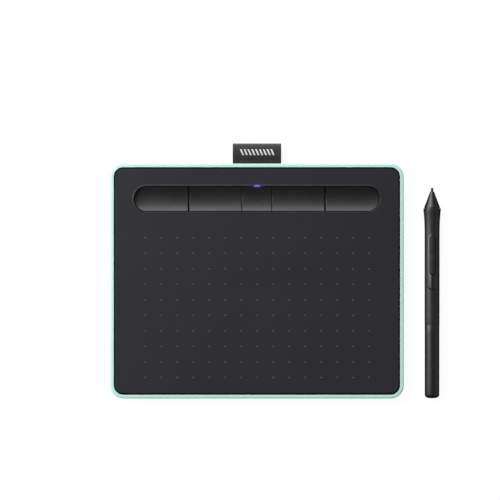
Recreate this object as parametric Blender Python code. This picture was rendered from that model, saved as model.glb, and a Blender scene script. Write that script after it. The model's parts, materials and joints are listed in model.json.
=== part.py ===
"""Pen drawing tablet with its pen: every piece is one closed solid, in metres, +Z up.

The tablet lies on its four feet with the keys and the fabric pen loop towards +Y.
The pen lies on the desk at the +X side with its tip towards +Y.
"""
import math

import bmesh
import bpy
from mathutils import Vector

MM = 0.001
GAP = 0.3

# Tablet body, all sizes below in millimetres.
WIDTH = 200.0
DEPTH = 160.0
CORNER_R = 9.0
UNDERSIDE_Z = 0.8
RIM_Z = 8.6
RIM_W = 2.45
CROWN_IN = 2.25
CROWN_Z = 7.4
FILLET_IN = 9.0
FILLET_UP = 5.7
FLOOR_Z = 2.2
WALL_IN = 4.2
LEDGE_Z = 6.6

# Top cover.
COVER_LOW = 7.3
COVER_TOP = 8.8
COVER_HX = 96.6
COVER_HY = 76.5
COVER_R = 5.6

# Key trough.
TROUGH_Y = 55.9
TROUGH_HALF = 83.85
OPENING_R = 8.75
SKIRT_R = 9.5
SKIRT_Z = 6.55
KEY_R = 8.4
SPINE = TROUGH_HALF - OPENING_R
INNER_SPLIT = 10.2
OUTER_SPLIT = 46.5
KEY_LOW = 5.0
KEY_EDGE_Z = 8.15
KEY_CENTRE_Z = 5.9
KEY_END_LIFT = 0.35
KEY_FLANGE = 9.4
KEY_FLANGE_Z = 6.3
THIN_GAP = 0.2
WIDE_GAP = 0.5
LENS_Y = 64.85

# Feet and the screws above them.
FOOT_X = 88.0
FOOT_Y = 68.0
FOOT_R = 6.7
FOOT_TOP = 1.2

# Control board.
BOARD_LOW = 2.5
BOARD_TOP = 3.1
PART_LOW = 3.4

# Fabric loop.
LOOP_HALF_W = 16.55
LOOP_OUT = 93.85
LOOP_MID_Z = 5.05

# Pen: distances along the pen are measured from the tip.
PEN_X = 119.45
PEN_TIP_Y = 63.6
PEN_LENGTH = 143.55
FLARE_R = 5.93
FLARE_AT = 15.0
TAIL_R = 4.93
TAIL_AT = 141.0
PEN_TILT = math.asin((FLARE_R - TAIL_R) / (TAIL_AT - FLARE_AT))
PEN_TIP_Z = FLARE_R + FLARE_AT * math.sin(PEN_TILT)
SWITCH_AT = 45.0
SWITCH_PIVOT_Z = 4.6


# ---------------------------------------------------------------- materials
def make_material(name, colour, roughness, metallic=0.0):
    mat = bpy.data.materials.new(name)
    mat.use_nodes = True
    shader = mat.node_tree.nodes["Principled BSDF"]
    shader.inputs["Base Color"].default_value = (colour[0], colour[1], colour[2], 1.0)
    shader.inputs["Roughness"].default_value = roughness
    shader.inputs["Metallic"].default_value = metallic
    return mat


# ---------------------------------------------------------------- mesh helpers
def link_mesh(name, bm, mat, smooth_deg=None, parent=None):
    """Turn a bmesh given in millimetres into a named object in metres."""
    bmesh.ops.recalc_face_normals(bm, faces=bm.faces)
    bmesh.ops.scale(bm, vec=(MM, MM, MM), verts=bm.verts)
    mesh = bpy.data.meshes.new(name)
    bm.to_mesh(mesh)
    bm.free()
    obj = bpy.data.objects.new(name, mesh)
    bpy.context.scene.collection.objects.link(obj)
    if mat is not None:
        mesh.materials.append(mat)
    if smooth_deg is not None:
        for poly in mesh.polygons:
            poly.use_smooth = True
        mesh.set_sharp_from_angle(angle=math.radians(smooth_deg))
    if parent is not None:
        obj.parent = parent
    return obj


def loft(rings):
    """Closed solid through rings of equal length, capped at both ends."""
    bm = bmesh.new()
    loops = [[bm.verts.new(p) for p in ring] for ring in rings]
    count = len(rings[0])
    for low, high in zip(loops[:-1], loops[1:]):
        for i in range(count):
            j = (i + 1) % count
            bm.faces.new((low[i], low[j], high[j], high[i]))
    bm.faces.new(list(reversed(loops[0])))
    bm.faces.new(loops[-1])
    return bm


def closed_skin(rings):
    """Closed tube whose last ring joins back to its first."""
    bm = bmesh.new()
    loops = [[bm.verts.new(p) for p in ring] for ring in rings]
    count = len(rings[0])
    for k, low in enumerate(loops):
        high = loops[(k + 1) % len(loops)]
        for i in range(count):
            j = (i + 1) % count
            bm.faces.new((low[i], low[j], high[j], high[i]))
    return bm


def rounded_ring(hx, hy, r, z, steps=8, cx=0.0, cy=0.0):
    points = []
    for k, (sx, sy) in enumerate(((1, 1), (-1, 1), (-1, -1), (1, -1))):
        for i in range(steps + 1):
            a = math.pi / 2 * (k + i / steps)
            x = cx + sx * (hx - r) + r * math.cos(a)
            y = cy + sy * (hy - r) + r * math.sin(a)
            points.append((x, y, z))
    return points


def stadium_ring(spine, r, z, steps=10, cx=0.0, cy=0.0):
    """Ring with straight sides along X and round ends."""
    points = []
    for side in (1, -1):
        for i in range(steps + 1):
            a = -math.pi / 2 + math.pi * i / steps
            if side < 0:
                a += math.pi
            points.append((cx + side * spine + r * math.cos(a), cy + r * math.sin(a), z))
    return points


def slab(outline, z0, z1):
    """Prism over an outline in X and Y."""
    return loft([[(x, y, z0) for x, y in outline], [(x, y, z1) for x, y in outline]])


def block(x0, x1, y0, y1, z0, z1):
    return slab(((x0, y0), (x1, y0), (x1, y1), (x0, y1)), z0, z1)


def profile_along_x(outline, x0, x1):
    """Prism over an outline in Y and Z, running along X."""
    return loft([[(x0, y, z) for y, z in outline], [(x1, y, z) for y, z in outline]])


def prism_along_y(outline, y0, y1):
    """Prism over an outline in X and Z, running along Y."""
    return loft([[(x, y0, z) for x, z in outline], [(x, y1, z) for x, z in outline]])


def circle(r, steps, cx=0.0, cy=0.0):
    """Points of a circle as pairs."""
    angles = [2 * math.pi * i / steps for i in range(steps)]
    return [(cx + r * math.cos(a), cy + r * math.sin(a)) for a in angles]


def disc(cx, cy, r, z0, z1, steps=24):
    return slab(circle(r, steps, cx, cy), z0, z1)


def turned_z(cx, cy, profile, steps=24):
    """Solid turned about a vertical line, profile of (radius, z) from low to high."""
    rings = []
    for r, z in profile:
        rings.append([(x, y, z) for x, y in circle(r, steps, cx, cy)])
    return loft(rings)


def turned_pen(profile, steps=32, cx=0.0, cz=0.0):
    """Solid turned about the pen's line, profile of (distance, radius) from the tip end."""
    rings = []
    for s, r in profile:
        rings.append([(x, -s, z) for x, z in circle(r, steps, cx, cz)])
    return loft(rings)


def tube_pen(outer, inner, steps=32):
    """Open tube: the outer profile runs tip to tail, the inner one runs back."""
    path = list(outer) + list(reversed(inner))
    rings = []
    for s, r in path:
        rings.append([(x, -s, z) for x, z in circle(r, steps)])
    return closed_skin(rings)


def pill_along_y(half_w, y0, y1, z, steps=8, cx=0.0):
    """Ring with straight sides along Y and round ends at y0 and y1 (y0 below y1)."""
    points = []
    for i in range(steps + 1):
        a = math.pi * i / steps
        points.append((cx + half_w * math.cos(a), y1 - half_w + half_w * math.sin(a), z))
    for i in range(steps + 1):
        a = math.pi + math.pi * i / steps
        points.append((cx + half_w * math.cos(a), y0 + half_w + half_w * math.sin(a), z))
    return points


def boolean(obj, kind, bm, parent=None):
    """Apply an exact boolean of a second solid to an object and drop the helper."""
    tool = link_mesh("cutter", bm, None, None, parent)
    tool.hide_render = True
    tool.display_type = 'WIRE'
    mod = obj.modifiers.new(kind, 'BOOLEAN')
    mod.operation = kind
    mod.solver = 'EXACT'
    mod.object = tool
    bpy.context.view_layer.update()
    graph = bpy.context.evaluated_depsgraph_get()
    mesh = bpy.data.meshes.new_from_object(obj.evaluated_get(graph))
    mats = list(obj.data.materials)
    obj.modifiers.remove(mod)
    obj.data = mesh
    mesh.name = obj.name
    mesh.materials.clear()
    for mat in mats:
        mesh.materials.append(mat)
    bpy.data.objects.remove(tool)
    return obj


def resmooth(obj, degrees):
    for poly in obj.data.polygons:
        poly.use_smooth = True
    obj.data.set_sharp_from_angle(angle=math.radians(degrees))


# ---------------------------------------------------------------- tablet shell
def build_housing(mat):
    hx = WIDTH / 2
    hy = DEPTH / 2
    rings = [rounded_ring(30.0, 20.0, 4.0, UNDERSIDE_Z)]
    for deg in (0, 18, 36, 54, 72, 90):
        a = math.radians(deg)
        inset = FILLET_IN * (1 - math.sin(a))
        z = UNDERSIDE_Z + FILLET_UP * (1 - math.cos(a))
        rings.append(rounded_ring(hx - inset, hy - inset, CORNER_R - 0.55 * inset, z))
    for deg in (0, 20, 40, 60, 90):
        a = math.radians(deg)
        inset = CROWN_IN * (1 - math.cos(a))
        z = CROWN_Z + (RIM_Z - CROWN_Z) * math.sin(a)
        rings.append(rounded_ring(hx - inset, hy - inset, CORNER_R - inset, z))
    rings.append(rounded_ring(hx - RIM_W, hy - RIM_W, CORNER_R - RIM_W, RIM_Z - 0.2))
    rings.append(rounded_ring(hx - RIM_W, hy - RIM_W, CORNER_R - RIM_W, LEDGE_Z))
    rings.append(rounded_ring(hx - WALL_IN, hy - WALL_IN, CORNER_R - WALL_IN, LEDGE_Z))
    rings.append(rounded_ring(hx - WALL_IN, hy - WALL_IN, CORNER_R - WALL_IN, 3.6))
    rings.append(rounded_ring(hx - 5.6, hy - 5.6, 3.4, FLOOR_Z))
    obj = link_mesh("bottom_housing", loft(rings), mat)
    for sx in (-1, 1):
        for sy in (-1, 1):
            cx = sx * FOOT_X
            cy = sy * FOOT_Y
            boolean(obj, 'UNION', disc(cx, cy, 3.6, 1.9, 4.2, 16))
            wide = FOOT_R + GAP
            bore = ((wide, -1.0), (wide, 1.5), (2.2, 1.5), (2.2, 3.0), (1.2, 3.0), (1.2, 5.0))
            boolean(obj, 'DIFFERENCE', turned_z(cx, cy, bore, 24))
    for sx in (-1, 1):
        post = disc(sx * 19.0, 72.0, 1.9, 1.9, 5.7, 12)
        boolean(obj, 'UNION', post)
        boolean(obj, 'DIFFERENCE', disc(sx * 19.0, 72.0, 1.0, 2.6, 7.0, 12))
    for x in (-60.0, 0.0, 60.0):
        boolean(obj, 'DIFFERENCE', disc(x, 47.4, 1.0, 1.3, 3.0, 12))
    # Openings in the rear wall: loop slot, USB port and the two tether holes.
    boolean(obj, 'DIFFERENCE', block(-17.0, 17.0, 74.0, 82.0, 3.9, 6.2))
    port = ((-81.9, 3.0), (-73.3, 3.0), (-73.3, 5.75), (-73.8, 6.25), (-81.4, 6.25), (-81.9, 5.75))
    boolean(obj, 'DIFFERENCE', prism_along_y(port, 74.0, 82.0))
    for x in (75.3, 80.9):
        boolean(obj, 'DIFFERENCE', prism_along_y(circle(0.9, 12, x, 4.6), 74.0, 82.0))
    resmooth(obj, 28)
    return obj


def build_gasket(mat):
    """Flat foam ring on the ledge, under the edge of the top cover."""
    hx = WIDTH / 2 - RIM_W
    hy = DEPTH / 2 - RIM_W
    r = CORNER_R - RIM_W
    path = ((0.15, 6.8), (0.15, 7.05), (1.6, 7.05), (1.6, 6.8))
    rings = [rounded_ring(hx - inset, hy - inset, r - inset, z, 6) for inset, z in path]
    link_mesh("cover_gasket", closed_skin(rings), mat)


def build_cover(mat):
    rings = [
        rounded_ring(COVER_HX, COVER_HY, COVER_R, COVER_LOW),
        rounded_ring(COVER_HX, COVER_HY, COVER_R, COVER_TOP - 0.6),
        rounded_ring(COVER_HX - 0.18, COVER_HY - 0.18, COVER_R - 0.18, COVER_TOP - 0.2),
        rounded_ring(COVER_HX - 0.6, COVER_HY - 0.6, COVER_R - 0.6, COVER_TOP),
    ]
    obj = link_mesh("top_cover", loft(rings), mat)
    # Skirt round the key opening, cut through together with the cover.
    skirt = loft([stadium_ring(SPINE, SKIRT_R, z, 10, 0.0, TROUGH_Y) for z in (SKIRT_Z, COVER_LOW + 0.2)])
    boolean(obj, 'UNION', skirt)
    opening = loft([
        stadium_ring(SPINE, OPENING_R, SKIRT_Z - 1.0, 10, 0.0, TROUGH_Y),
        stadium_ring(SPINE, OPENING_R, COVER_TOP - 0.45, 10, 0.0, TROUGH_Y),
        stadium_ring(SPINE, OPENING_R + 0.6, COVER_TOP + 0.1, 10, 0.0, TROUGH_Y),
        stadium_ring(SPINE, OPENING_R + 0.6, COVER_TOP + 1.0, 10, 0.0, TROUGH_Y),
    ])
    boolean(obj, 'DIFFERENCE', opening)
    notch = block(-2.3, 2.3, LENS_Y - 1.35, LENS_Y + 0.85, SKIRT_Z - 1.0, COVER_TOP + 1.0)
    boolean(obj, 'DIFFERENCE', notch)
    for sx in (-1, 1):
        for sy in (-1, 1):
            boolean(obj, 'UNION', disc(sx * FOOT_X, sy * FOOT_Y, 2.9, 4.5, COVER_LOW + 0.4, 16))
            boolean(obj, 'DIFFERENCE', disc(sx * FOOT_X, sy * FOOT_Y, 1.15, 3.0, 7.6, 12))
    resmooth(obj, 28)
    return obj


def trough_cutter():
    """Channel that hollows the top of the keys: round in section, slightly raised at both ends."""
    land = KEY_R - 0.25
    reach = KEY_R + 2.0
    tip = SPINE + KEY_R
    rings = []
    for x in (-tip - 2.0, -tip, -(tip + SPINE) / 2, -SPINE, SPINE, (tip + SPINE) / 2, tip, tip + 2.0):
        part = min(max(abs(x) - SPINE, 0.0) / KEY_R, 1.0)
        low = KEY_CENTRE_Z + KEY_END_LIFT * part * part
        ring = [(x, TROUGH_Y + reach, KEY_EDGE_Z + 3.0), (x, TROUGH_Y - reach, KEY_EDGE_Z + 3.0),
                (x, TROUGH_Y - reach, KEY_EDGE_Z)]
        for k in range(-6, 7):
            share = k / 6
            ring.append((x, TROUGH_Y + land * share, low + (KEY_EDGE_Z - low) * share * share))
        ring.append((x, TROUGH_Y + reach, KEY_EDGE_Z))
        rings.append(ring)
    return loft(rings)


def build_key(name, x0, x1, mat):
    """One key: x0 and x1 are its sides; an end key keeps the round end of the trough."""
    outline = []
    if x1 > SPINE:
        outline.append((x0, TROUGH_Y - KEY_R))
        for i in range(11):
            a = -math.pi / 2 + math.pi * i / 10
            outline.append((SPINE + KEY_R * math.cos(a), TROUGH_Y + KEY_R * math.sin(a)))
        outline.append((x0, TROUGH_Y + KEY_R))
    elif x0 < -SPINE:
        outline.append((x1, TROUGH_Y + KEY_R))
        for i in range(11):
            a = math.pi / 2 + math.pi * i / 10
            outline.append((-SPINE + KEY_R * math.cos(a), TROUGH_Y + KEY_R * math.sin(a)))
        outline.append((x1, TROUGH_Y - KEY_R))
    else:
        front = TROUGH_Y - KEY_R
        rear = TROUGH_Y + KEY_R
        outline = [(x0, front), (x1, front), (x1, rear), (x0, rear)]
    obj = link_mesh(name, slab(outline, KEY_LOW, KEY_EDGE_Z + 0.5), mat)
    f0 = max(x0, -SPINE) + 1.5
    f1 = min(x1, SPINE) - 1.5
    flange = block(f0, f1, TROUGH_Y - KEY_FLANGE, TROUGH_Y + KEY_FLANGE, KEY_LOW, KEY_FLANGE_Z)
    boolean(obj, 'UNION', flange)
    boolean(obj, 'DIFFERENCE', trough_cutter())
    if abs(x0 + x1) < 0.01:
        pip = turned_z(0.0, TROUGH_Y - 1.4, ((0.45, KEY_CENTRE_Z - 0.25), (0.55, KEY_CENTRE_Z + 2.0)), 12)
        boolean(obj, 'DIFFERENCE', pip)
        # Slot in the flange that lets the light of the LED reach its lens.
        slot = block(-2.6, 2.6, TROUGH_Y + 8.6, TROUGH_Y + 10.0, KEY_LOW - 1.0, KEY_FLANGE_Z + 0.2)
        boolean(obj, 'DIFFERENCE', slot)
    resmooth(obj, 28)
    return obj


def build_feet(foot_mat, screw_mat):
    number = 0
    for sy in (1, -1):
        for sx in (-1, 1):
            number += 1
            cx = sx * FOOT_X
            cy = sy * FOOT_Y
            dome = ((4.6, 0.0), (5.6, 0.12), (6.3, 0.4), (FOOT_R, 0.85), (FOOT_R, FOOT_TOP))
            link_mesh("foot_%d" % number, turned_z(cx, cy, dome, 32), foot_mat, 50)
            body = ((1.75, 1.8), (1.75, 2.7), (0.8, 2.7), (0.8, 6.7), (0.4, 7.2))
            screw = link_mesh("cover_screw_%d" % number, turned_z(cx, cy, body, 14), screw_mat, 50)
            boolean(screw, 'DIFFERENCE', block(cx - 0.9, cx + 0.9, cy - 0.2, cy + 0.2, 1.0, 2.3))
            boolean(screw, 'DIFFERENCE', block(cx - 0.2, cx + 0.2, cy - 0.9, cy + 0.9, 1.0, 2.3))


# ---------------------------------------------------------------- tablet inside
def build_inside(mats):
    sensor = ((-81.0, -69.0), (81.0, -69.0), (81.0, 43.5), (-81.0, 43.5))
    link_mesh("sensor_board", slab(sensor, 6.2, 6.9), mats["board"])
    sheet = ((-79.0, -67.0), (79.0, -67.0), (79.0, 42.0), (-79.0, 42.0))
    link_mesh("shield_sheet", slab(sheet, 5.4, 5.9), mats["steel"])

    outline = ((-82.0, 45.0), (82.0, 45.0), (82.0, 68.0), (-69.5, 68.0), (-69.5, 74.2), (-83.4, 74.2),
               (-83.4, 66.0), (-82.0, 66.0))
    board = link_mesh("control_board", slab(outline, BOARD_LOW, BOARD_TOP), mats["board"])
    for x in (-60.0, 0.0, 60.0):
        boolean(board, 'DIFFERENCE', disc(x, 47.4, 1.1, 1.0, 4.0, 12))

    centres = (-(OUTER_SPLIT + TROUGH_HALF) / 2 + 2.0, -(INNER_SPLIT + OUTER_SPLIT) / 2, 0.0,
               (INNER_SPLIT + OUTER_SPLIT) / 2, (OUTER_SPLIT + TROUGH_HALF) / 2 - 2.0)
    for i, x in enumerate(centres):
        steps = ((2.2, 0.4, PART_LOW), (2.2, 0.4, 4.0), (1.0, 0.5, 4.02), (1.0, 0.5, 4.3))
        rings = [rounded_ring(half, half, r, z, 1, x, TROUGH_Y) for half, r, z in steps]
        link_mesh("tact_switch_%d" % (i + 1), loft(rings), mats["plastic"])

    link_mesh("main_chip", block(-20.5, -13.5, 58.0, 65.0, PART_LOW, 4.2), mats["chip"])
    link_mesh("radio_module", block(62.0, 76.0, 59.0, 67.0, PART_LOW, 4.2), mats["steel"])
    link_mesh("status_led", block(-0.8, 0.8, LENS_Y - 0.1, LENS_Y + 1.1, PART_LOW, 4.1), mats["lens"])
    link_mesh("battery_socket", block(-46.0, -40.0, 45.6, 49.6, PART_LOW, 4.2), mats["plastic"])

    pack_ring = rounded_ring(33.0, 21.0, 2.0, FLOOR_Z + GAP, 3, -20.0, 12.0)
    rings = [pack_ring, rounded_ring(33.0, 21.0, 2.0, 5.0, 3, -20.0, 12.0)]
    link_mesh("battery", loft(rings), mats["battery"])
    for tag, x in (("red", -44.2), ("black", -41.8)):
        path = ((45.3, 3.5), (45.3, 4.2), (33.4, 4.2), (33.4, 3.5))
        link_mesh("battery_lead_" + tag, profile_along_x(path, x - 0.35, x + 0.35), mats["lead_" + tag])

    flex = ((49.5, 3.4), (49.5, 3.55), (44.35, 3.55), (44.1, 3.8), (44.1, 6.6), (43.95, 6.6), (43.95, 3.7),
            (44.3, 3.4))
    link_mesh("sensor_flex", profile_along_x(flex, 30.0, 46.0), mats["flex"])

    usb = link_mesh("usb_connector", block(-81.35, -73.85, 70.0, 78.4, PART_LOW, 6.0), mats["steel"])
    boolean(usb, 'DIFFERENCE', block(-80.95, -74.25, 71.2, 79.0, 3.8, 5.6))
    boolean(usb, 'UNION', block(-79.6, -75.6, 70.6, 76.6, 4.5, 4.95))

    link_mesh("loop_retainer", build_retainer(), mats["plastic"])
    bar = bpy.data.objects["loop_retainer"]
    for i, x in enumerate((-19.0, 19.0)):
        boolean(bar, 'DIFFERENCE', disc(x, 72.0, 1.0, 5.0, 8.0, 12))
        body = ((0.65, 3.2), (0.65, 6.95), (1.5, 6.96), (1.5, 7.25))
        link_mesh("loop_screw_%d" % (i + 1), turned_z(x, 72.0, body, 12), mats["screw"], 50)
    for i, x in enumerate((-60.0, 0.0, 60.0)):
        body = ((0.7, 1.6), (0.7, 3.4), (1.6, 3.41), (1.6, 4.1))
        link_mesh("board_screw_%d" % (i + 1), turned_z(x, 47.4, body, 12), mats["screw"], 50)


def build_retainer():
    """Bar that pins the tongue of the fabric loop inside the rear wall."""
    return loft([rounded_ring(21.5, 2.0, 1.5, z, 2, 0.0, 72.0) for z in (6.05, 6.6)])


def build_lens(mat):
    steps = ((1.4, 0.5, 6.9), (1.4, 0.5, 8.3), (1.25, 0.35, 8.5))
    rings = [stadium_ring(spine, r, z, 6, 0.0, LENS_Y) for spine, r, z in steps]
    link_mesh("led_lens", loft(rings), mat, 40)


def build_loop(mat):
    """Fabric loop, empty and slightly open, with its tongue through the rear slot."""
    top = ((71.0, 0.65), (80.2, 0.65), (81.6, 1.9), (83.6, 3.4), (86.2, 4.25), (88.6, 4.25), (91.0, 3.4),
           (92.8, 1.9), (LOOP_OUT, 0.0))
    outer = [(y, LOOP_MID_Z + h) for y, h in top]
    outer += [(y, LOOP_MID_Z - h) for y, h in reversed(top[:-1])]
    obj = link_mesh("pen_loop", profile_along_x(outer, -LOOP_HALF_W, LOOP_HALF_W), mat)
    eye = ((81.4, 0.3), (82.2, 1.4), (84.0, 2.75), (86.4, 3.55), (88.4, 3.55), (90.5, 2.8), (92.1, 1.5))
    inner = [(y, LOOP_MID_Z + h) for y, h in eye]
    inner.append((LOOP_OUT - 0.7, LOOP_MID_Z))
    inner += [(y, LOOP_MID_Z - h) for y, h in reversed(eye)]
    boolean(obj, 'DIFFERENCE', profile_along_x(inner, -LOOP_HALF_W - 2.0, LOOP_HALF_W + 2.0))
    resmooth(obj, 40)
    return obj


# ---------------------------------------------------------------- pen
def build_pen(mats):
    axis = bpy.data.objects.new("pen_axis", None)
    bpy.context.scene.collection.objects.link(axis)
    axis.location = Vector((PEN_X, PEN_TIP_Y, PEN_TIP_Z)) * MM
    axis.rotation_euler = (PEN_TILT, 0.0, 0.0)

    def add(name, bm, mat, smooth=40):
        return link_mesh(name, bm, mat, smooth, axis)

    def cut(obj, kind, bm):
        """Boolean with a helper placed on the pen's own line."""
        boolean(obj, kind, bm, axis)

    nib_profile = ((0.0, 0.25), (0.15, 0.55), (0.55, 0.8), (23.5, 0.8), (23.7, 0.65))
    add("nib", turned_pen(nib_profile, 14), mats["nib"])

    cone_out = ((2.5, 1.35), (5.4, 2.42), (8.4, 3.48), (11.4, 4.6), (13.4, 5.42), (13.75, 5.5))
    cone_in = ((2.5, 1.1), (8.0, 1.1), (9.5, 2.6), (13.75, 4.3))
    add("nose_cone", tube_pen(cone_out, cone_in, 32), mats["gloss"])

    sleeve_out = ((14.05, 5.8), (14.35, FLARE_R - 0.03), (FLARE_AT, FLARE_R), (16.3, 5.85), (19.0, 5.59),
                  (21.5, 5.38), (23.8, 5.25), (27.9, 5.12), (60.0, 5.07), (93.2, 5.05))
    sleeve_in = ((14.05, 4.4), (16.0, 4.1), (93.2, 4.1))
    sleeve = add("grip_sleeve", tube_pen(sleeve_out, sleeve_in, 32), mats["grip"])
    island = loft([
        pill_along_y(3.0, -69.9, -31.0, 4.0),
        pill_along_y(2.85, -69.75, -31.15, 4.72),
        pill_along_y(2.0, -68.9, -32.0, 5.2),
        pill_along_y(1.2, -68.1, -32.8, 5.6),
        pill_along_y(0.5, -67.4, -33.5, 5.75),
    ])
    cut(sleeve, 'UNION', island)
    pocket = loft([pill_along_y(2.05, -59.5, -32.4, z, 6) for z in (3.0, 7.0)])
    cut(sleeve, 'DIFFERENCE', pocket)
    resmooth(sleeve, 35)

    pivot = bpy.data.objects.new("side_switch_axis", None)
    bpy.context.scene.collection.objects.link(pivot)
    pivot.parent = axis
    pivot.location = Vector((0.0, -SWITCH_AT, SWITCH_PIVOT_Z)) * MM
    rocker = build_rocker(mats["gloss"])
    rocker.parent = pivot

    chassis_out = ((24.2, 3.75), (92.4, 3.75))
    chassis_in = ((24.2, 3.05), (92.4, 3.05))
    chassis = add("pen_chassis", tube_pen(chassis_out, chassis_in, 24), mats["plastic"])
    cut(chassis, 'DIFFERENCE', block(-5.0, 5.0, -95.0, -20.0, 1.15, 6.0))
    resmooth(chassis, 35)

    core_out = ((10.6, 1.9), (22.4, 1.9))
    core_in = ((10.6, 1.15), (22.4, 1.15))
    add("ferrite_core", tube_pen(core_out, core_in, 16), mats["ferrite"])
    coil_out = ((12.2, 2.9), (20.8, 2.9))
    coil_in = ((12.2, 2.2), (20.8, 2.2))
    add("coil_winding", tube_pen(coil_out, coil_in, 16), mats["copper"])
    sensor_profile = ((24.6, 2.3), (24.9, 2.6), (30.6, 2.6), (30.9, 2.3))
    sensor = add("pressure_sensor", turned_pen(sensor_profile, 16), mats["steel"])
    cut(sensor, 'DIFFERENCE', block(-4.0, 4.0, -32.0, -24.0, 1.7, 4.0))

    add("pen_circuit_board", block(-2.7, 2.7, -80.0, -32.0, 1.5, 2.1), mats["board"], None)
    for i, s in enumerate((37.2, 54.3)):
        steps = ((1.2, 1.5, 2.4), (1.2, 1.5, 3.2), (0.6, 0.6, 3.21), (0.6, 0.6, 3.6))
        rings = [rounded_ring(hx, hy, 0.3, z, 1, 0.0, -s) for hx, hy, z in steps]
        add("side_contact_%d" % (i + 1), loft(rings), mats["plastic"], None)

    holder = add("nib_holder", turned_pen(((92.8, 3.3), (93.1, 3.6), (122.0, 3.6)), 24), mats["plastic"])
    for i in range(3):
        a = math.radians(90 + 120 * i)
        cx = 2.05 * math.cos(a)
        cz = 2.05 * math.sin(a)
        cut(holder, 'DIFFERENCE', turned_pen(((98.0, 1.15), (124.0, 1.15)), 12, cx, cz))
        spare = [(s + 98.6, r) for s, r in nib_profile]
        add("spare_nib_%d" % (i + 1), turned_pen(spare, 12, cx, cz), mats["nib"])
    resmooth(holder, 35)

    barrel_out = ((93.55, 4.92), (93.9, 4.99), (TAIL_AT, TAIL_R), (141.9, 4.7), (142.7, 4.2),
                  (143.25, 3.55), (143.5, 2.7))
    barrel_in = ((93.55, 4.1), (140.5, 4.1), (141.5, 2.7))
    add("rear_barrel", tube_pen(barrel_out, barrel_in, 32), mats["satin"])
    cap_profile = ((139.7, 3.4), (140.3, 3.4), (140.35, 2.35), (143.35, 2.35), (PEN_LENGTH, 2.1))
    add("tail_cap", turned_pen(cap_profile, 24), mats["gloss"])
    ring = tube_pen(((133.0, 3.75), (135.0, 3.75)), ((133.0, 1.05), (135.0, 1.05)), 20)
    add("nib_puller_ring", ring, mats["steel"])


def build_rocker(mat):
    """Side switch, drawn about its own pivot: long pill with a dip across the middle."""
    y_low = -59.1 + SWITCH_AT
    y_high = -32.9 + SWITCH_AT
    base_z = 3.95 - SWITCH_PIVOT_Z
    top = 6.15 - SWITCH_PIVOT_Z
    rings = [
        pill_along_y(1.7, y_low, y_high, base_z, 6),
        pill_along_y(1.7, y_low, y_high, top - 0.45, 6),
        pill_along_y(1.25, y_low + 0.45, y_high - 0.45, top, 6),
    ]
    obj = link_mesh("side_switch", loft(rings), mat)
    dip = ((-3.6, top + 0.4), (-2.4, top - 0.06), (-1.2, top - 0.2), (0.0, top - 0.26), (1.2, top - 0.2),
           (2.4, top - 0.06), (3.6, top + 0.4))
    boolean(obj, 'DIFFERENCE', profile_along_x(dip, -3.0, 3.0))
    resmooth(obj, 35)
    return obj


# ---------------------------------------------------------------- everything
def main():
    for obj in list(bpy.data.objects):
        bpy.data.objects.remove(obj)

    mats = {
        "mint": make_material("mint_plastic", (0.44, 0.68, 0.57), 0.55),
        "black": make_material("black_cover", (0.035, 0.036, 0.04), 0.6),
        "key": make_material("key_plastic", (0.045, 0.045, 0.047), 0.45),
        "foot": make_material("mint_rubber", (0.42, 0.65, 0.54), 0.75),
        "screw": make_material("screw_steel", (0.6, 0.6, 0.62), 0.35, 1.0),
        "board": make_material("board_mask", (0.006, 0.018, 0.012), 0.5),
        "steel": make_material("sheet_steel", (0.62, 0.63, 0.65), 0.3, 1.0),
        "plastic": make_material("inner_plastic", (0.06, 0.06, 0.065), 0.6),
        "chip": make_material("chip_resin", (0.02, 0.02, 0.02), 0.5),
        "lens": make_material("lens_clear", (0.8, 0.85, 0.95), 0.2),
        "battery": make_material("battery_wrap", (0.55, 0.56, 0.58), 0.4),
        "lead_red": make_material("lead_red", (0.5, 0.02, 0.02), 0.5),
        "lead_black": make_material("lead_black", (0.02, 0.02, 0.02), 0.5),
        "flex": make_material("flex_film", (0.45, 0.22, 0.05), 0.4),
        "fabric": make_material("loop_fabric", (0.035, 0.03, 0.032), 0.9),
        "nib": make_material("nib_plastic", (0.03, 0.03, 0.03), 0.5),
        "gloss": make_material("gloss_black", (0.03, 0.03, 0.032), 0.25),
        "grip": make_material("grip_rubber", (0.035, 0.035, 0.037), 0.7),
        "satin": make_material("satin_black", (0.03, 0.03, 0.032), 0.4),
        "ferrite": make_material("ferrite", (0.05, 0.05, 0.055), 0.6),
        "foam": make_material("foam_black", (0.012, 0.012, 0.012), 0.95),
        "copper": make_material("copper_wire", (0.7, 0.32, 0.16), 0.35, 1.0),
    }
    build_housing(mats["mint"])
    build_cover(mats["black"])
    build_gasket(mats["foam"])
    build_key("key_1", -TROUGH_HALF - 1.0, -OUTER_SPLIT - WIDE_GAP, mats["key"])
    build_key("key_2", -OUTER_SPLIT + WIDE_GAP, -INNER_SPLIT - THIN_GAP, mats["key"])
    build_key("power_button", -INNER_SPLIT + THIN_GAP, INNER_SPLIT - THIN_GAP, mats["key"])
    build_key("key_3", INNER_SPLIT + THIN_GAP, OUTER_SPLIT - WIDE_GAP, mats["key"])
    build_key("key_4", OUTER_SPLIT + WIDE_GAP, TROUGH_HALF + 1.0, mats["key"])
    build_feet(mats["foot"], mats["screw"])
    build_lens(mats["lens"])
    build_inside(mats)
    build_loop(mats["fabric"])
    build_pen(mats)


main()
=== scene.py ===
"""Looks for the pen drawing tablet: dense meshes, procedural finishes, studio floor, lights and camera."""
import json
import math

import bmesh
import bpy
from mathutils import Matrix, Vector


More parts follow.
